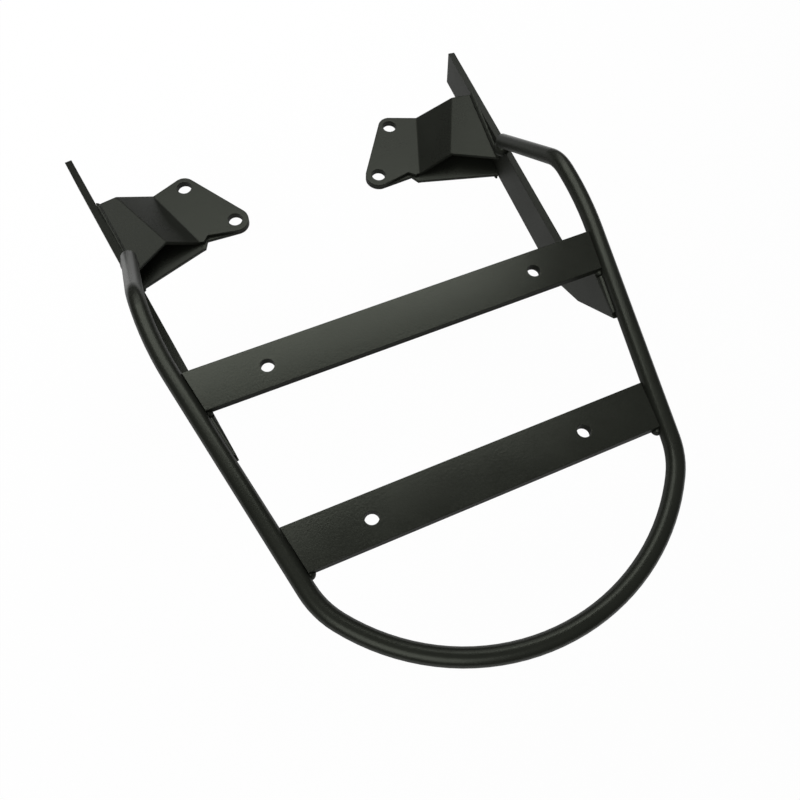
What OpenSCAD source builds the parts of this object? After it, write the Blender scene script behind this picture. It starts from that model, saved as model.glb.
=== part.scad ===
// Welded rear luggage rack for a motorcycle: a bent tube hoop, two flat crossbars,
// two side plates that drop forward, and a pair of folded mounting brackets on each side.
// The origin is the middle of the front crossbar's bolt line, on the bar's top face.
// +X is to the right, +Y runs forward to the mounting brackets and +Z is up.

/* [Hoop tube] */
// Outer diameter of the hoop tube
tube_d = 12; // [10:0.5:14]
// Wall of the hoop tube
tube_wall = 1.5; // [1:0.25:2.5]
// Depth of the tube's centre line below the front crossbar's top face
tube_drop = 2.6; // [1.5:0.1:4]
// Distance of a leg's centre line from the middle, at the front crossbar's bolt line
leg_half = 152.4; // [140:0.1:165]
// Angle by which each leg spreads outward towards the front
leg_splay = 11.2; // [8:0.1:13]
// Length by which the radius of the wide rear arc falls short of leg_half
rear_bend_in = 10.4; // [3:0.1:17]
// Bend radius of each rear corner, on the centre line
corner_bend_r = 58; // [45:1:65]
// Distance from the rear bolt line back to where a leg's straight ends at the rear corner
corner_gap = 24.7; // [20:0.1:35]
// Straight length of a leg ahead of the front crossbar
leg_run_on = 0.9; // [0.4:0.1:10]
// Radius of the slow bend that brings each leg parallel to the other
sweep_bend_r = 282; // [240:2:340]
// Bend radius of the elbow where a leg turns down
elbow_bend_r = 30; // [22:1:45]
// Angle by which a leg turns down at the elbow
elbow_angle = 39; // [35:0.5:44]
// Height of a leg's foot above the plate's upper edge, which the heavy bead bridges
foot_gap = 3.2; // [0.5:0.1:4]

/* [Crossbars] */
// Distance between the front and the rear bolt line
bolt_line_gap = 117.5; // [105:0.5:130]
// Thickness of both crossbars
bar_t = 6; // [4:0.5:7]
// Width of the front crossbar
front_bar_w = 30.2; // [26:0.2:34]
// Width of the rear crossbar
rear_bar_w = 32.4; // [26:0.2:36]
// Spacing of the two bolt holes in the front crossbar
front_hole_gap = 194.6; // [150:0.2:230]
// Spacing of the two bolt holes in the rear crossbar
rear_hole_gap = 146.8; // [120:0.2:180]
// Diameter of the bolt holes in the crossbars
bar_hole_d = 9.1; // [6:0.1:11]
// Forward lean of the rear crossbar, its front edge being the lower one
rear_bar_pitch = 7; // [0:0.5:10]
// Depth of the rear crossbar's top face below the front one's, at its bolt line
rear_bar_drop = 0.8; // [0:0.1:2]

/* [Side plates] */
// Height of a side plate, across its length
plate_h = 30; // [26:0.5:34]
// Thickness of a side plate
plate_t = 6; // [4:0.5:8]
// Distance of a plate's inner face inward from a leg's centre line, at the front bolt line
plate_in = 10.8; // [8:0.1:13]
// Angle by which each plate spreads outward towards the front
plate_splay = 7.8; // [6:0.1:9]
// Slope of a plate's long edges, down towards the front
plate_slope = 12.7; // [11:0.1:14]
// Depth of a plate's upper edge below the crossbar's top face, at the front bolt line
plate_drop = 35.4; // [32:0.1:38]
// Length of a plate along its face, ahead of the front bolt line
plate_reach = 300.8; // [280:0.2:320]
// Angle of the rear end of a plate, where it rises to the tube
rise_angle = 47; // [44:0.5:52]
// Length by which a plate's rising end runs in under the front crossbar
rise_lap = 4; // [2:0.5:6]
// Length sawn off the plate's lower corner, along the lower edge
knee_cut_ahead = 15; // [5:0.5:20]
// Length sawn off the plate's lower corner, along the rising edge
knee_cut_behind = 28; // [10:0.5:32]

/* [Mounting brackets] */
// Thickness of the folded bracket sheets
sheet_t = 3; // [2:0.25:4]
// Place of the tab fold's front end along the plate, ahead of the front bolt line
fold_along = 245; // [240:0.2:250]
// Distance of the tab fold's front end inward from the plate's inner face
fold_in = 48.3; // [46:0.1:51]
// Depth of the tab below the plate's upper edge, beside the fold's front end
tab_depth = 28.5; // [24:0.1:32]
// Angle between the tab fold and the plate, which part towards the rear
fold_angle = 13.3; // [10:0.1:16]
// Length of the tab fold
fold_len = 65; // [60:0.5:70]
// Diameter of the mounting holes in the tabs
tab_hole_d = 12.5; // [8:0.1:14]
// Distance of the front tab hole behind the fold's front end, along the fold
front_tab_hole_back = 10.6; // [8:0.1:13]
// Distance of the front tab hole inward from the fold
front_tab_hole_in = 25; // [22:0.1:28]
// Distance of the rear tab hole behind the fold's front end, along the fold
rear_tab_hole_back = 66.7; // [63:0.1:70]
// Distance of the rear tab hole inward from the fold
rear_tab_hole_in = 36.8; // [33:0.1:40]
// Radius of the tab's rounded end about its front hole
front_tab_end_r = 10.5; // [9:0.1:12]
// Radius of the tab's rounded end about its rear hole
rear_tab_end_r = 11.8; // [10.5:0.1:13]
// Length of the tab's ear behind the end of its fold
ear_run = 1.4; // [0.4:0.2:3]
// Width of the tab's ear beside the fold
ear_w = 2.2; // [1:0.2:4]
// Depth of the notch between the ear and the tab's rounded end
notch_w = 9; // [6:0.5:11]
// Inner radius of the bracket sheets' folds
fold_r = 2; // [1:0.5:4]
// Slope of the ramp between the tab and the apron
ramp_angle = 40.5; // [36:0.5:45]
// Width of the ramp at its front edge
ramp_front_w = 39.4; // [35:0.2:42]
// Width of the ramp at its rear edge
ramp_rear_w = 33.3; // [29:0.2:37]
// Length by which the ramp's rear edge leans in towards the front
ramp_rear_in = 4; // [1:0.5:7]
// Angle of the fold between the ramp and the apron
apron_bend = 20; // [16:0.5:24]
// Length by which the apron's rear tip runs past the end of its fold
apron_tip_run = 12.4; // [8:0.2:18]
// Slope of the lower bracket's web, up from its pad to the plate
web_angle = 20; // [17:0.5:22]
// Length by which the lower bracket's fold runs on behind the upper one's
web_fold_more = 6; // [2:0.5:10]
// Length by which the web's front edge leans back
web_front_in = 4; // [1:0.5:7]
// Length by which the web's rear tip runs past the end of its fold
web_tip_run = 11.6; // [8:0.2:16]
// Length by which the pad's rear corner stands ahead of the end of its fold
pad_rear_in = 5; // [2:0.5:8]
// Width of the pad at its rear corner
pad_rear_w = 6; // [3:0.5:9]

/* [Welds] */
// Radius of the small beads along the seams
bead = 3; // [2:0.25:4]
// Radius of the beads where a seam ends at a crossbar's corner
corner_bead = 4; // [3:0.25:5]
// Radius of the heavy bead under the foot of each leg
foot_bead = 7; // [5:0.25:8]
// Height of the rounded cap that closes the foot of each leg
foot_cap = 2; // [1:0.25:3]

/* [Hidden] */
$fn = 64;
coat = [0.16, 0.165, 0.155];
// Length by which cutting solids run past what they cut
over = 1;
// Size of a solid that stands for a half space
huge = 600;

tube_r = tube_d / 2;
// Thickening of a wall where one length of tube or sheet takes in the end of the next
swell = 0.02;
swell_lap = 0.3;
tube_z = -tube_drop;

// Plan of the hoop: unit vector square to a right-hand leg, and a point of its centre line
leg_in = [-cos(leg_splay), sin(leg_splay)];
function leg_at(y) = [leg_half + y * tan(leg_splay), y];

// The rear corner touches the end of the leg's straight and, from inside, the wide rear arc
rear_bend_r = leg_half - rear_bend_in;
leg_start = leg_at(-bolt_line_gap - corner_gap);
corner_c = leg_start + corner_bend_r * leg_in;
corner_a = -acos(corner_c[0] / (rear_bend_r - corner_bend_r));
hoop_reach = rear_bend_r - corner_c[1] + (rear_bend_r - corner_bend_r) * sin(corner_a);

// Front of a leg: slow bend in plan, elbow, and the run down to the plate
leg_end = leg_at(front_bar_w / 2 + leg_run_on);
sweep_c = leg_end + sweep_bend_r * leg_in;
drop_x = sweep_c[0] + sweep_bend_r;
elbow_y = sweep_c[1];
run_y = elbow_y + elbow_bend_r * sin(elbow_angle);
run_z = tube_z - elbow_bend_r * (1 - cos(elbow_angle));

// Plan of a side plate's inner face: unit vectors along it and square to it
plate_half = leg_half - plate_in;
plate_along = [sin(plate_splay), cos(plate_splay)];
plate_out = [cos(plate_splay), -sin(plate_splay)];

// Outline of a side plate in the plane of its inner face: [along, up]
edge_fall = tan(plate_slope);
edge_down = [-sin(plate_slope), -cos(plate_slope)];
function top_edge(p) = [p, -plate_drop - edge_fall * p];
function low_edge(p) = [p, -plate_drop - plate_h / cos(plate_slope) - edge_fall * p];
seat_z = -bar_t;
rise_dir = [-cos(rise_angle), sin(rise_angle)];
// The plate's rising end starts under the rear part of the front crossbar
rise_top = [rise_lap - front_bar_w / 2, seat_z];
rise_low = [rise_top[0] - plate_h / sin(rise_angle), seat_z];
// Where a rising line through a point meets an edge that starts at height h0
function knee(q, h0) =
    let (p = (q[1] + tan(rise_angle) * q[0] + h0) / (tan(rise_angle) - edge_fall))
    [p, -h0 - edge_fall * p];
knee_top = knee(rise_top, plate_drop);
knee_low = knee(rise_low, plate_drop + plate_h / cos(plate_slope));
tip_top = top_edge(plate_reach);
plate_outline = [
    rise_top, knee_top, tip_top, tip_top + plate_h * edge_down,
    knee_low + knee_cut_ahead * [cos(plate_slope), -sin(plate_slope)],
    knee_low + knee_cut_behind * rise_dir,
    rise_low
];

// The foot is cut square a little above the plate's upper edge
axis_gap = tube_r / cos(plate_slope) + foot_gap;
axis_y = (run_z + tan(elbow_angle) * run_y + plate_drop - axis_gap
    + edge_fall * (drop_x - plate_half) * plate_along[0])
    / (tan(elbow_angle) - edge_fall * plate_along[1]);
run_len = (axis_y - run_y) / cos(elbow_angle);
foot = [drop_x, axis_y, run_z - run_len * sin(elbow_angle)];

// Tab, laid out along its fold: X to the rear from the fold's front end, Y outward
fold_a = [plate_half, 0] + fold_along * plate_along - fold_in * plate_out;
fold_heading = plate_splay + fold_angle;
tab_z = top_edge(fold_along)[1] - tab_depth;
hole_a = [front_tab_hole_back, -front_tab_hole_in];
hole_b = [rear_tab_hole_back, -rear_tab_hole_in];
hole_dir = (hole_b - hole_a) / norm(hole_b - hole_a);
tab_in = [hole_dir[1], -hole_dir[0]];
// Tangent point on a circle about c, seen from q, on the side given by side = 1 or -1
function tangent(c, r, q, side) =
    let (d = q - c, l = norm(d), a = atan2(d[1], d[0]) + side * acos(r / l))
    c + r * [cos(a), sin(a)];
// Notch beside the fold's rear end
tab_rear = [[fold_len - ear_run, -notch_w], [fold_len + ear_run, -ear_w], [fold_len, 0]];

// Distance inward from the plate's face of a point x along the tab's fold and y outward of it
function face_gap(x, y) = fold_in + x * sin(fold_angle) - y * cos(fold_angle);

// Ramp and apron, each in its own plane
ramp_fold_run = fold_len - ramp_rear_in;
apron_fold_angle = atan2(ramp_rear_w - ramp_front_w, ramp_fold_run);
apron_fold_len = norm([ramp_fold_run, ramp_rear_w - ramp_front_w]);
// The same distance for a point on the apron's top face, x along the apron's fold and y off it
function apron_gap(x, y) =
    let (
        r = fold_r + sheet_t,
        across = y * cos(apron_bend) + r * sin(apron_bend),
        rise = r * cos(apron_bend) - r - y * sin(apron_bend),
        along = x * cos(apron_fold_angle) - across * sin(apron_fold_angle),
        out = ramp_front_w + x * sin(apron_fold_angle) + across * cos(apron_fold_angle)
    )
    face_gap(along, out * cos(ramp_angle) - (rise - fold_r) * sin(ramp_angle));
// Width at which the apron's top face meets the plate
function apron_w(x) = apron_gap(x, 0) / (apron_gap(x, 0) - apron_gap(x, 1));
apron_front_w = apron_w(0);
apron_tip = [apron_fold_len + apron_tip_run, apron_w(apron_fold_len + apron_tip_run)];
apron_seam = apron_tip - [0, apron_front_w];
apron_seam_len = norm(apron_seam);
apron_seam_angle = atan2(apron_seam[1], apron_seam[0]);
// Length by which the sheets run on before they are trimmed to the plate
trim = 8;

// Pad and web of the lower bracket; its fold nests round the outside of the ramp's
pad_z = tab_z - sheet_t;
web_fold_len = fold_len + web_fold_more;
web_fold_r = fold_r + sheet_t + 2 * swell;
// Point at which the web's underside meets the plate, x along its fold
function web_edge(x) = [
    x,
    face_gap(x, 0) / (cos(web_angle) * cos(fold_angle)) - (web_fold_r + sheet_t) * tan(web_angle)
];
web_front = web_edge(web_front_in);
web_rear = web_edge(web_fold_len + web_tip_run);
web_seam = web_rear - web_front;
pad_rear = [[web_fold_len - pad_rear_in, -pad_rear_w], [web_fold_len, 0]];
web_seam_len = norm(web_seam);
web_seam_angle = atan2(web_seam[1], web_seam[0]);
web_outline = [
    [0, 0], [web_fold_len, 0], web_rear,
    web_rear + [0, trim], web_front + [0, trim]
];

// Welds: radius of the foot's rounded cap, and the middle of the heavy bead below the foot
cap_rim = tube_r + swell;
cap_r = (cap_rim * cap_rim + foot_cap * foot_cap) / (2 * foot_cap);
foot_along = (foot[0] - plate_half) * plate_along[0] + foot[1] * plate_along[1];
foot_seat = [plate_half + foot_along * plate_along[0], foot[1], top_edge(foot_along)[1]];

module both_ends(side) {
    if (side < 0) mirror([1, 0, 0]) children();
    else children();
}

// Section of the hoop tube, its wall swollen on both faces by s
module tube_ring(s) {
    difference() {
        circle(tube_r + s);
        circle(tube_r - tube_wall - s);
    }
}

// Bend to the left that starts at the origin along +Y; children go on from its end.
// A swollen bend runs on past both of its ends and takes in the ends of its neighbours.
module bend(r, a, s = 0) {
    lap = s > 0 ? swell_lap / r * 180 / PI : 0;
    translate([-r, 0, 0]) {
        rotate([0, 0, -lap]) rotate_extrude(angle = a + 2 * lap) translate([r, 0]) tube_ring(s);
        rotate([0, 0, a]) translate([r, 0, 0]) children();
    }
}

// Straight length along +Y; children go on from its end. A swollen one starts early.
module straight(l, s = 0) {
    lap = s > 0 ? swell_lap : 0;
    translate([0, -lap, 0]) rotate([-90, 0, 0]) linear_extrude(l + lap) tube_ring(s);
    translate([0, l, 0]) children();
}

// Half of the hoop, from the middle of the rear arc to the foot of the leg
module half_hoop() {
    translate([0, -hoop_reach, tube_z]) rotate([0, 0, -90])
        bend(rear_bend_r, 90 + corner_a)
        bend(corner_bend_r, -corner_a - leg_splay, swell)
        straight(norm(leg_end - leg_start))
        bend(sweep_bend_r, leg_splay, swell)
        rotate([0, -90, 0]) bend(elbow_bend_r, elbow_angle)
        straight(run_len, swell);
}

// Places children at the start of the downward run, Z along it
module on_run() {
    translate([drop_x, run_y, run_z]) rotate([-90 - elbow_angle, 0, 0]) children();
}

// Straight stretch of a leg beside the crossbars and the plate
module leg_straight() {
    translate([leg_start[0], leg_start[1], tube_z])
        rotate([0, 0, -leg_splay]) rotate([-90, 0, 0])
        cylinder(r = tube_r, h = norm(leg_end - leg_start));
}

// Places children in a plate's frame: X along the plate, Y up, Z outward from its inner face
module on_plate() {
    translate([plate_half, 0, 0]) rotate([90, 0, 90 - plate_splay]) children();
}

// Everything outward of a plate's inner face
module beyond_plate() {
    on_plate() translate([-huge / 2, -huge / 2, 0]) cube(huge);
}

module hoop() {
    color(coat) for (side = [-1, 1]) both_ends(side) half_hoop();
}

// A flat bar across the hoop, its ends cut along the inner sides of the legs
module crossbar(w, hole_gap, y, top, pitch) {
    intersection() {
        translate([0, y, top]) rotate([-pitch, 0, 0]) difference() {
            translate([-leg_half, -w / 2, -bar_t]) cube([2 * leg_half, w, bar_t]);
            for (side = [-1, 1]) translate([side * hole_gap / 2, 0, -bar_t - over])
                cylinder(d = bar_hole_d, h = bar_t + 2 * over);
        }
        translate([0, 0, -4 * bar_t]) linear_extrude(8 * bar_t) polygon([
            inner_side(y - w), inner_side(y + w),
            flip(inner_side(y + w)), flip(inner_side(y - w))
        ]);
    }
}

// Point on the inner side of the right-hand leg, and the same on the left
function inner_side(y) = leg_at(y) - [tube_r / cos(leg_splay), 0];
function flip(q) = [-q[0], q[1]];

module front_bar() {
    color(coat) crossbar(front_bar_w, front_hole_gap, 0, 0, 0);
}

module rear_bar() {
    color(coat) crossbar(rear_bar_w, rear_hole_gap, -bolt_line_gap, -rear_bar_drop, rear_bar_pitch);
}

module plate_blank() {
    on_plate() linear_extrude(plate_t) polygon(plate_outline);
}

module side_plate() {
    color(coat) difference() {
        plate_blank();
        leg_straight();
    }
}

// Places children at the fold, X along it to the rear and Y outward
module on_fold(z) {
    translate([fold_a[0], fold_a[1], z]) rotate([0, 0, -90 - fold_heading]) children();
}

// Sheet whose top face is the polygon in the XY plane
module sheet(points) {
    translate([0, 0, -sheet_t]) linear_extrude(sheet_t) polygon(points);
}

// Fold along X of length l and inner radius r that turns the sheet up by a; children lie in the
// turned sheet's plane. It is a touch thicker and narrower than the sheets, and takes in their edges.
module fold_up_by(a, l, r) {
    lap = swell_lap / r * 180 / PI / 2;
    translate([0, 0, r]) {
        rotate([-lap, 0, 0]) rotate([0, 90, 0]) rotate_extrude(angle = a + 2 * lap)
            translate([r - swell, swell]) square([sheet_t + 2 * swell, l - 2 * swell]);
        rotate([a, 0, 0]) translate([0, 0, -r]) children();
    }
}

// The same fold, turning the sheet down
module fold_down_by(a, l, r) {
    lap = swell_lap / r * 180 / PI / 2;
    translate([0, 0, -r - sheet_t]) {
        rotate([lap, 0, 0]) rotate([0, -90, 0]) rotate_extrude(angle = a + 2 * lap)
            translate([r - swell, swell - l]) square([sheet_t + 2 * swell, l - 2 * swell]);
        rotate([-a, 0, 0]) translate([0, 0, r + sheet_t]) children();
    }
}

// Level tab with rounded ends about its two holes, its straight edges ending a touch inside them;
// rear_points closes it at the rear
module tab(rear_points) {
    difference() {
        translate([0, 0, -sheet_t]) linear_extrude(sheet_t) {
            translate(hole_a) circle(front_tab_end_r);
            translate(hole_b) circle(rear_tab_end_r);
            polygon(concat([
                [0, 0],
                tangent(hole_a, front_tab_end_r - swell, [0, 0], 1), hole_a,
                hole_a + front_tab_end_r * tab_in,
                hole_b + rear_tab_end_r * tab_in, hole_b,
                tangent(hole_b, rear_tab_end_r - swell, rear_points[0], -1)
            ], rear_points));
        }
        for (h = [hole_a, hole_b]) translate([h[0], h[1], -sheet_t - over])
            cylinder(d = tab_hole_d, h = sheet_t + 2 * over);
    }
}

module upper_bracket() {
    color(coat) difference() {
        on_fold(tab_z) {
            tab(tab_rear);
            fold_up_by(ramp_angle, fold_len, fold_r) {
                ramp();
                on_apron_fold() fold_down_by(apron_bend, apron_fold_len, fold_r) sheet([
                    [0, 0], [apron_fold_len, 0],
                    apron_tip + trim * (apron_tip - [apron_fold_len, 0]) / apron_tip[1],
                    [0, apron_front_w + trim]
                ]);
            }
        }
        beyond_plate();
    }
}

// Ramp in its own plane, cut off along the apron's fold
module ramp() {
    rear = [ramp_fold_run, ramp_rear_w] - [fold_len, 0];
    difference() {
        sheet([
            [0, 0], [fold_len, 0], [fold_len, 0] + (1 + trim / ramp_rear_w) * rear,
            [0, ramp_front_w + trim]
        ]);
        on_apron_fold() translate([-huge / 2, 0, -huge / 2]) cube(huge);
    }
}

// Places children at the fold between ramp and apron, X along it
module on_apron_fold() {
    translate([0, ramp_front_w, 0]) rotate([0, 0, apron_fold_angle]) children();
}

module lower_bracket() {
    color(coat) difference() {
        on_fold(pad_z) {
            tab(pad_rear);
            fold_up_by(web_angle, web_fold_len, web_fold_r) sheet(web_outline);
        }
        beyond_plate();
    }
}

// Places children beside a leg at the height of z, where it stands y ahead of the front bolt line;
// Z runs along the leg
module beside_leg(y, z) {
    q = inner_side(y);
    translate([q[0], q[1], z]) rotate([0, 0, -leg_splay]) rotate([-90, 0, 0]) children();
}

// Bead under the end of a crossbar, with a rounded lump in the rear corner
module bar_weld(w, y, top, pitch) {
    rear = y - w / 2;
    low = top - bar_t;
    rise = w / 2 * sin(pitch);
    color(coat) difference() {
        union() {
            beside_leg(rear, low) cylinder(r = bead, h = w / cos(leg_splay));
            beside_leg(rear, low + rise) sphere(corner_bead);
        }
        leg_straight();
        crossbar(w, w, y, top, pitch);
        plate_blank();
    }
}

module front_bar_weld() {
    bar_weld(front_bar_w, 0, 0, 0);
}

module rear_bar_weld() {
    bar_weld(rear_bar_w, -bolt_line_gap, -rear_bar_drop, rear_bar_pitch);
}

// Cap that closes the foot of a leg, and the heavy bead that joins it to the plate
module foot_weld() {
    color(coat) difference() {
        union() {
            on_run() translate([0, 0, run_len]) intersection() {
                translate([0, 0, foot_cap - cap_r]) rotate([0, 90, 0]) sphere(cap_r);
                translate([-tube_d, -tube_d, 0]) cube(2 * tube_d);
            }
            translate(foot_seat) rotate([0, 45, 0]) rotate([-90, 0, 0]) sphere(foot_bead);
        }
        on_run() translate([0, 0, -tube_d]) cylinder(r = cap_rim, h = run_len + tube_d);
        plate_blank();
    }
}

// Bead on the plate's seat, along the inner side of the tube
module plate_tube_weld() {
    start = rise_low[0] * plate_along[1] + bead;
    color(coat) difference() {
        intersection() {
            beside_leg(start, seat_z) cylinder(r = bead, h = -start - front_bar_w / 2 - corner_bead);
            beyond_plate();
        }
        translate([-huge / 2, -huge / 2, seat_z - huge]) cube(huge);
        leg_straight();
    }
}

// Bead in the corner between the apron's upper side and the plate's inner face
module upper_bracket_weld() {
    color(coat) difference() {
        on_fold(tab_z) on_ramp() on_apron_seam() rotate([0, 90, 0])
            cylinder(r = bead, h = apron_seam_len);
        on_fold(tab_z) on_ramp() on_apron_seam() translate([-huge / 2, -huge / 2, -huge]) cube(huge);
        beyond_plate();
    }
}

module on_ramp() {
    translate([0, 0, fold_r]) rotate([ramp_angle, 0, 0]) translate([0, 0, -fold_r]) children();
}

// Places children at the apron's seam with the plate, X along the seam and Z off the apron
module on_apron_seam() {
    on_apron_fold() translate([0, 0, -fold_r - sheet_t]) rotate([-apron_bend, 0, 0])
        translate([0, apron_front_w, fold_r + sheet_t]) rotate([0, 0, apron_seam_angle]) children();
}

// Bead in the corner between the web's underside and the plate's inner face
module lower_bracket_weld() {
    color(coat) difference() {
        on_web_seam() rotate([0, 90, 0]) cylinder(r = bead, h = web_seam_len);
        on_web_seam() translate([-huge / 2, -huge / 2, 0]) cube(huge);
        beyond_plate();
    }
}

// Places children at the web's seam with the plate, on the web's underside
module on_web_seam() {
    on_fold(pad_z) translate([0, 0, web_fold_r]) rotate([web_angle, 0, 0])
        translate([web_front[0], web_front[1], -web_fold_r - sheet_t])
        rotate([0, 0, web_seam_angle]) children();
}

hoop();  // hoop_tube
front_bar();  // front_crossbar
rear_bar();  // rear_crossbar
both_ends(-1) side_plate();  // side_plate_left
both_ends(1) side_plate();  // side_plate_right
both_ends(-1) upper_bracket();  // upper_bracket_left
both_ends(1) upper_bracket();  // upper_bracket_right
both_ends(-1) lower_bracket();  // lower_bracket_left
both_ends(1) lower_bracket();  // lower_bracket_right
both_ends(-1) front_bar_weld();  // front_bar_weld_left
both_ends(1) front_bar_weld();  // front_bar_weld_right
both_ends(-1) rear_bar_weld();  // rear_bar_weld_left
both_ends(1) rear_bar_weld();  // rear_bar_weld_right
both_ends(-1) foot_weld();  // tube_foot_weld_left
both_ends(1) foot_weld();  // tube_foot_weld_right
both_ends(-1) plate_tube_weld();  // plate_tube_weld_left
both_ends(1) plate_tube_weld();  // plate_tube_weld_right
both_ends(-1) upper_bracket_weld();  // upper_bracket_weld_left
both_ends(1) upper_bracket_weld();  // upper_bracket_weld_right
both_ends(-1) lower_bracket_weld();  // lower_bracket_weld_left
both_ends(1) lower_bracket_weld();  // lower_bracket_weld_right
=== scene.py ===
# Looks of the luggage rack: black powder coat, rippled weld metal, light and camera
import math

import bmesh
import bpy
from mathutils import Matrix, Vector


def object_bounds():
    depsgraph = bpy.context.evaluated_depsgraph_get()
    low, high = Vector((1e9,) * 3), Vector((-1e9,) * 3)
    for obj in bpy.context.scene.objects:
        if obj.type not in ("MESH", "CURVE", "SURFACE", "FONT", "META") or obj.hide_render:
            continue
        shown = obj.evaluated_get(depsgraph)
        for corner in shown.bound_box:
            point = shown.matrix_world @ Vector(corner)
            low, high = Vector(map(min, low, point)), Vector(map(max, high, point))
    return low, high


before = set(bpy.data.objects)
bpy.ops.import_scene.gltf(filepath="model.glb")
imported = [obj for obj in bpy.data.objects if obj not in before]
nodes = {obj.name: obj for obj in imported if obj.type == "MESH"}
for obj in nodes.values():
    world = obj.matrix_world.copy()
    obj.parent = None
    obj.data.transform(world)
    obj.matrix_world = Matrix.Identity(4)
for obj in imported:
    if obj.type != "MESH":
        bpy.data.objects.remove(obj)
cad_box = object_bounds()

scene = bpy.context.scene
scene.view_settings.view_transform = "Standard"

# Camera where the photograph was taken: place in metres, turns about X, Y and Z in degrees
CAMERA_AT = (-0.12421, -0.21105, 0.44609)
CAMERA_TURNS = (22.203, -3.387, -23.375)
# Focal length and width of the picture, in its pixels
FOCAL_PX = 756.61
PICTURE_PX = 800
# Width of the film in millimetres, and the nearest and farthest depth that is drawn, in metres
FILM = 36.0
NEAREST = 0.01
FARTHEST = 20

camera_data = bpy.data.cameras.new("camera")
camera_data.sensor_width = FILM
camera_data.lens = FILM * FOCAL_PX / PICTURE_PX
camera_data.clip_start = NEAREST
camera_data.clip_end = FARTHEST
camera = bpy.data.objects.new("camera", camera_data)
camera.location = CAMERA_AT
camera.rotation_euler = [math.radians(turn) for turn in CAMERA_TURNS]
scene.collection.objects.link(camera)
scene.camera = camera

# Materials
WHITE = (1, 1, 1, 1)
# Stretch that holds nearly all values of a noise
NOISE_BULK = (0.3, 0.7)
# Rays that the rounded normal of a Bevel node is averaged from
BEVEL_SAMPLES = 6
# Inputs and output of a Mix node that mixes colours
MIX_SHARE, MIX_FROM, MIX_TO, MIX_RESULT = 0, 6, 7, 2


class Nodes:
    """The node tree of a material or a world, with short calls that add and link its nodes."""

    def __init__(self, owner):
        owner.use_nodes = True
        self.tree = owner.node_tree
        self.tree.nodes.clear()

    def add(self, kind, **inputs):
        """Adds a node and sets its inputs. A space in an input's name is written as an underscore."""
        node = self.tree.nodes.new(kind)
        for key, value in inputs.items():
            node.inputs[key.replace("_", " ")].default_value = value
        return node

    def link(self, source, target):
        self.tree.links.new(source, target)

    def noise(self, place, scale, detail, rough=0.5):
        node = self.add("ShaderNodeTexNoise", Scale=scale, Detail=detail, Roughness=rough)
        self.link(place, node.inputs["Vector"])
        return node.outputs["Fac"]

    def remap(self, value, source, target):
        """Stretches a value from the range source to the range target, and keeps it inside."""
        (low, high), (to_low, to_high) = source, target
        node = self.add("ShaderNodeMapRange", From_Min=low, From_Max=high, To_Min=to_low, To_Max=to_high)
        self.link(value, node.inputs["Value"])
        return node.outputs["Result"]

    def vary(self, noise, middle, spread):
        """Turns a noise into a value that strays from the middle by the spread at most."""
        return self.remap(noise, NOISE_BULK, (middle - spread, middle + spread))

    def math(self, operation, *values):
        node = self.add("ShaderNodeMath")
        node.operation = operation
        for socket, value in zip(node.inputs, values):
            if isinstance(value, (int, float)):
                socket.default_value = value
            else:
                self.link(value, socket)
        return node.outputs[0]

    def upward(self, vector):
        """Gives the Z part of a vector."""
        node = self.add("ShaderNodeSeparateXYZ")
        self.link(vector, node.inputs[0])
        return node.outputs["Z"]

    def rounded(self, radius):
        """Gives the normal that the surface would have with its edges rounded."""
        node = self.add("ShaderNodeBevel", Radius=radius)
        node.samples = BEVEL_SAMPLES
        return node.outputs["Normal"]

    def likeness(self, first, second):
        """Gives the dot product of two normals."""
        node = self.add("ShaderNodeVectorMath")
        node.operation = "DOT_PRODUCT"
        self.link(first, node.inputs[0])
        self.link(second, node.inputs[1])
        return node.outputs["Value"]

    def scaled(self, color, factor):
        """Gives a colour made lighter or darker by a factor."""
        node = self.add("ShaderNodeVectorMath")
        node.operation = "SCALE"
        self.link(color, node.inputs[0])
        self.link(factor, node.inputs["Scale"])
        return node.outputs[0]


# Powder coat: colour, gloss, and noises whose scales count repeats in a metre
COAT = (0.0098, 0.0107, 0.0083)
COAT_IOR = 1.47
SHEEN = 0.30
SHEEN_TINT = (0.93, 1.0, 0.84)
PATCHES = {"scale": 22, "detail": 3}
GRAIN = {"scale": 2600, "detail": 1}
SPECKS = {"scale": 1500, "detail": 0}
PEEL = {"scale": 620, "detail": 2, "rough": 0.55}
HIGHLIGHT_NOISE = {"scale": 90, "detail": 4, "rough": 0.65}

# How far the tone and the roughness stray
PATCH_TONE = 0.14
GRAIN_TONE = 0.10
PATCH_ROUGH = 0.03
SPECK_ROUGH = 0.03

# Height of the orange peel and of the specks, in metres
PEEL_HEIGHT = 0.00004
SPECK_HEIGHT = 0.00002

# Painted edge highlight: how round the edges are, the likeness of the rounded normal to the face's own
# from no highlight to full highlight, and the noise that leaves some of each edge less lit
HIGHLIGHT_RADIUS = 0.0009
HIGHLIGHT_LIKENESS = (0.985, 0.80)
HIGHLIGHT_BULK = (0.35, 0.65)
HIGHLIGHT_SHARES = (0.25, 1.0)
# A painted highlight covers an edge's coat by this share, with its colour times a gain and lightened by
# a lift
HIGHLIGHT_COVER = 0.45
HIGHLIGHT_GAIN = 2.0
HIGHLIGHT_LIFT = 0.012

# Z part of the normal at which a face counts as fully upright and as not upright at all, and how much
# rougher an upright face is
UPRIGHT_Z = (0.10, 0.75)
UPRIGHT_ROUGHER = 0.25


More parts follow.
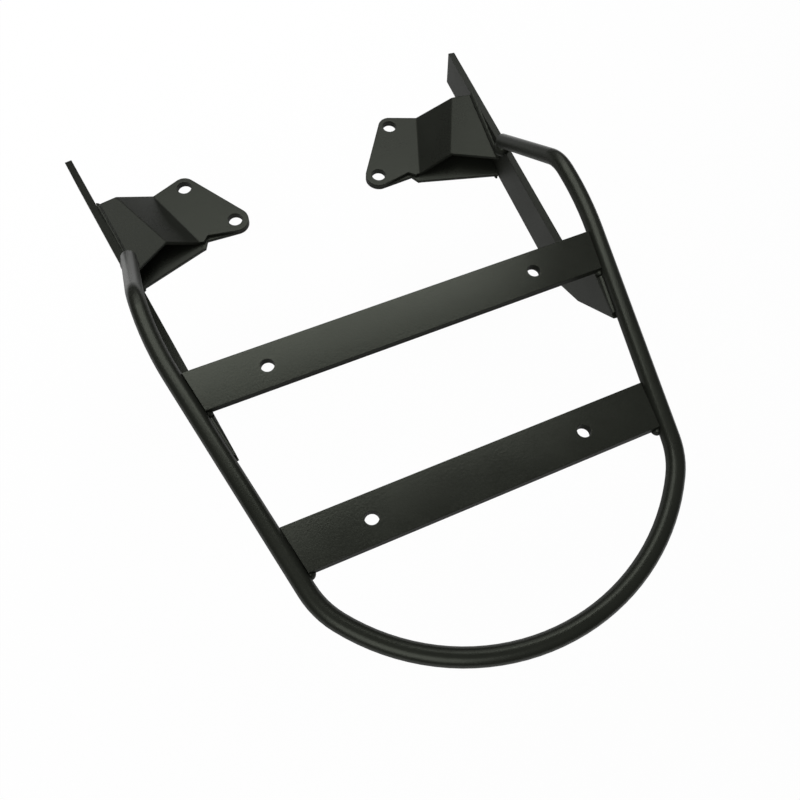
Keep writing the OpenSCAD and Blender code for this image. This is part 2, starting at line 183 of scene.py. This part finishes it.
def powder_coat(name, rough, upright_shaded_sheen, grain=1.0, highlight_strength=1.0, edge_radius=0.0006):
    """Satin black powder coat: orange peel, fine grain, painted highlights on edges, and painted shade
    in the sheen of upright faces.

    rough is the roughness of level faces, and upright_shaded_sheen the share of sheen on upright ones.
    grain scales the fine tone, the peel and the specks' height, and the argument after it the painted
    highlight on edges.
    edge_radius is how round the edges look.
    """
    material = bpy.data.materials.new(name)
    graph = Nodes(material)
    place = graph.add("ShaderNodeTexCoord").outputs["Object"]
    normal = graph.add("ShaderNodeNewGeometry").outputs["Normal"]
    patches = graph.noise(place, **PATCHES)
    specks = graph.noise(place, **SPECKS)

    # Broad patches and fine grain vary the tone
    fine_tone = graph.vary(graph.noise(place, **GRAIN), 1, GRAIN_TONE * grain)
    tone = graph.math("MULTIPLY", graph.vary(patches, 1, PATCH_TONE), fine_tone)

    # Edges are where the rounded normal leaves the face's own, and there a painted highlight makes the
    # coat paler
    edge = graph.remap(graph.likeness(graph.rounded(HIGHLIGHT_RADIUS), normal), HIGHLIGHT_LIKENESS, (0, 1))
    edge_highlight = graph.math("MULTIPLY", edge, graph.remap(graph.noise(place, **HIGHLIGHT_NOISE), HIGHLIGHT_BULK, HIGHLIGHT_SHARES))
    color = graph.add("ShaderNodeMix")
    color.data_type = "RGBA"
    color.inputs[MIX_FROM].default_value = (*COAT, 1)
    color.inputs[MIX_TO].default_value = (*(HIGHLIGHT_GAIN * part + HIGHLIGHT_LIFT * highlight_strength for part in COAT), 1)
    graph.link(graph.math("MULTIPLY", edge_highlight, HIGHLIGHT_COVER * highlight_strength), color.inputs[MIX_SHARE])

    # Upright faces are made rougher, and their sheen is cut as painted shade that dims their reflection
    # of the floor
    upright = graph.remap(graph.math("ABSOLUTE", graph.upward(normal)), UPRIGHT_Z, (1, 0))
    sheen = graph.remap(upright, (0, 1), (SHEEN, SHEEN * upright_shaded_sheen))
    rougher = graph.math("MULTIPLY", upright, UPRIGHT_ROUGHER)
    patchy = graph.vary(patches, rough, PATCH_ROUGH)
    speckled = graph.math("ADD", patchy, graph.vary(specks, 0, SPECK_ROUGH))

    # Peel and specks stand on a normal that rounds the edges
    peel = graph.math("MULTIPLY", graph.noise(place, **PEEL), PEEL_HEIGHT * grain)
    height = graph.math("ADD", peel, graph.math("MULTIPLY", specks, SPECK_HEIGHT * grain))
    bump = graph.add("ShaderNodeBump", Strength=1, Distance=1)
    graph.link(height, bump.inputs["Height"])
    graph.link(graph.rounded(edge_radius), bump.inputs["Normal"])

    coat = graph.add("ShaderNodeBsdfPrincipled", IOR=COAT_IOR, Specular_Tint=(*SHEEN_TINT, 1))
    graph.link(graph.scaled(color.outputs[MIX_RESULT], tone), coat.inputs["Base Color"])
    graph.link(graph.math("ADD", speckled, rougher), coat.inputs["Roughness"])
    graph.link(sheen, coat.inputs["Specular IOR Level"])
    graph.link(bump.outputs[0], coat.inputs["Normal"])
    graph.link(coat.outputs[0], graph.add("ShaderNodeOutputMaterial").inputs["Surface"])
    return material


# The coat of each kind of piece. A node takes the first one whose word is in its name
COATS = {
    "weld": powder_coat("weld_coat", rough=0.32, upright_shaded_sheen=0.15, grain=1.4, highlight_strength=0.6),
    "tube": powder_coat("tube_coat", rough=0.31, upright_shaded_sheen=0.35),
    "crossbar": powder_coat("bar_coat", rough=0.20, upright_shaded_sheen=0.05),
    "plate": powder_coat("plate_coat", rough=0.32, upright_shaded_sheen=0.55),
    "bracket": powder_coat("bracket_coat", rough=0.31, upright_shaded_sheen=0.30, edge_radius=0.0013),
}

for name, node in nodes.items():
    node.data.materials.clear()
    node.data.materials.append(next(coat for word, coat in COATS.items() if word in name))

# Weld metal: voxel of a bead's fine skin, passes that smooth the skin and the share of the way that
# each takes it, and size and height of its lumps
WELD_VOXEL = 0.0004
SMOOTH_PASSES = 6
SMOOTH_SHARE = 0.5
LUMP_SIZE = 0.0045
LUMP_HEIGHT = 0.0006
# Value of the lumps' noise at which the skin stays where it is
LUMP_LEVEL = 0.4

lumps = bpy.data.textures.new("weld_lumps", "CLOUDS")
lumps.noise_scale = LUMP_SIZE
lumps.noise_depth = 1


def ripple(bead):
    """Gives a weld bead a fine smooth skin with low lumps."""
    skin = bead.modifiers.new("skin", "REMESH")
    skin.mode = "VOXEL"
    skin.voxel_size = WELD_VOXEL
    skin.use_smooth_shade = True
    soften = bead.modifiers.new("soften", "SMOOTH")
    soften.factor = SMOOTH_SHARE
    soften.iterations = SMOOTH_PASSES
    bumps = bead.modifiers.new("ripple", "DISPLACE")
    bumps.texture = lumps
    bumps.texture_coords = "LOCAL"
    bumps.strength = LUMP_HEIGHT
    bumps.mid_level = LUMP_LEVEL


# The thin beads between plate and tube stay plain
for name, node in nodes.items():
    if "weld" in name and "plate_tube" not in name:
        ripple(node)

# Floor well below the rack: white to the camera, with a share of its true light for the shadow
FLOOR_GAP = 0.16
FLOOR_RADIUS = 1.5
FLOOR_SIDES = 96
SHADOW_SHARE = 0.05


def floor_paper():
    """White paper that glows to the camera and in reflections, and is dull paper to other rays."""
    material = bpy.data.materials.new("floor_paper")
    graph = Nodes(material)
    rays = graph.add("ShaderNodeLightPath").outputs
    seen = graph.math("MAXIMUM", rays["Is Camera Ray"], rays["Is Glossy Ray"])
    seen = graph.math("MAXIMUM", seen, rays["Is Transmission Ray"])
    dull = graph.add("ShaderNodeBsdfDiffuse", Color=WHITE)
    glow = graph.add("ShaderNodeEmission", Color=WHITE, Strength=1)
    mix = graph.add("ShaderNodeMixShader")
    graph.link(graph.math("MULTIPLY", seen, 1 - SHADOW_SHARE), mix.inputs[0])
    graph.link(dull.outputs[0], mix.inputs[1])
    graph.link(glow.outputs[0], mix.inputs[2])
    graph.link(mix.outputs[0], graph.add("ShaderNodeOutputMaterial").inputs["Surface"])
    return material


floor_mesh = bpy.data.meshes.new("floor")
form = bmesh.new()
bmesh.ops.create_circle(form, cap_ends=True, radius=FLOOR_RADIUS, segments=FLOOR_SIDES)
form.to_mesh(floor_mesh)
form.free()
floor_mesh.materials.append(floor_paper())
floor = bpy.data.objects.new("floor", floor_mesh)
floor.location = (0, 0, cad_box[0].z - FLOOR_GAP)
scene.collection.objects.link(floor)

# World: a grey sky that is dim at the horizon and brighter overhead
HORIZON_LIGHT = 0.10
ZENITH_LIGHT = 0.36

world = bpy.data.worlds.new("world")
sky = Nodes(world)
height = sky.upward(sky.add("ShaderNodeTexCoord").outputs["Generated"])
light = sky.add("ShaderNodeBackground", Color=WHITE)
sky.link(sky.remap(height, (0, 1), (HORIZON_LIGHT, ZENITH_LIGHT)), light.inputs["Strength"])
sky.link(light.outputs[0], sky.add("ShaderNodeOutputWorld").inputs["Surface"])
scene.world = world

# Height at which the level lamps hang, in metres
CEILING = 0.90


def panel(name, at, aim, size, radiance):
    """A rectangular lamp at one point that faces another. Radiance is what a mirror would show."""
    width, depth = size
    lamp = bpy.data.lights.new(name, "AREA")
    lamp.shape = "RECTANGLE"
    lamp.size = width
    lamp.size_y = depth
    lamp.energy = radiance * math.pi * width * depth
    holder = bpy.data.objects.new(name, lamp)
    holder.location = at
    holder.rotation_euler = (Vector(aim) - Vector(at)).to_track_quat("-Z", "Y").to_euler()
    scene.collection.objects.link(holder)


def ceiling(name, x, y, radiance):
    """A lamp that faces down and fills the stretches x and y of the ceiling."""
    middle = (sum(x) / 2, sum(y) / 2)
    panel(name, (*middle, CEILING), (*middle, 0), (x[1] - x[0], y[1] - y[0]), radiance)


# The front crossbar mirrors the near strip, the tabs the far one and the left apron the front one
ceiling("near_strip", x=(-0.75, 0.54), y=(0.405, 0.80), radiance=3.9)
ceiling("far_strip", x=(-0.60, 1.00), y=(0.80, 1.60), radiance=1.15)
ceiling("front_strip", x=(0.25, 1.45), y=(1.60, 2.40), radiance=1.3)
panel("fill", at=(-0.7, -1.0, 1.2), aim=(0, 0, 0), size=(1.2, 1.2), radiance=3.0)
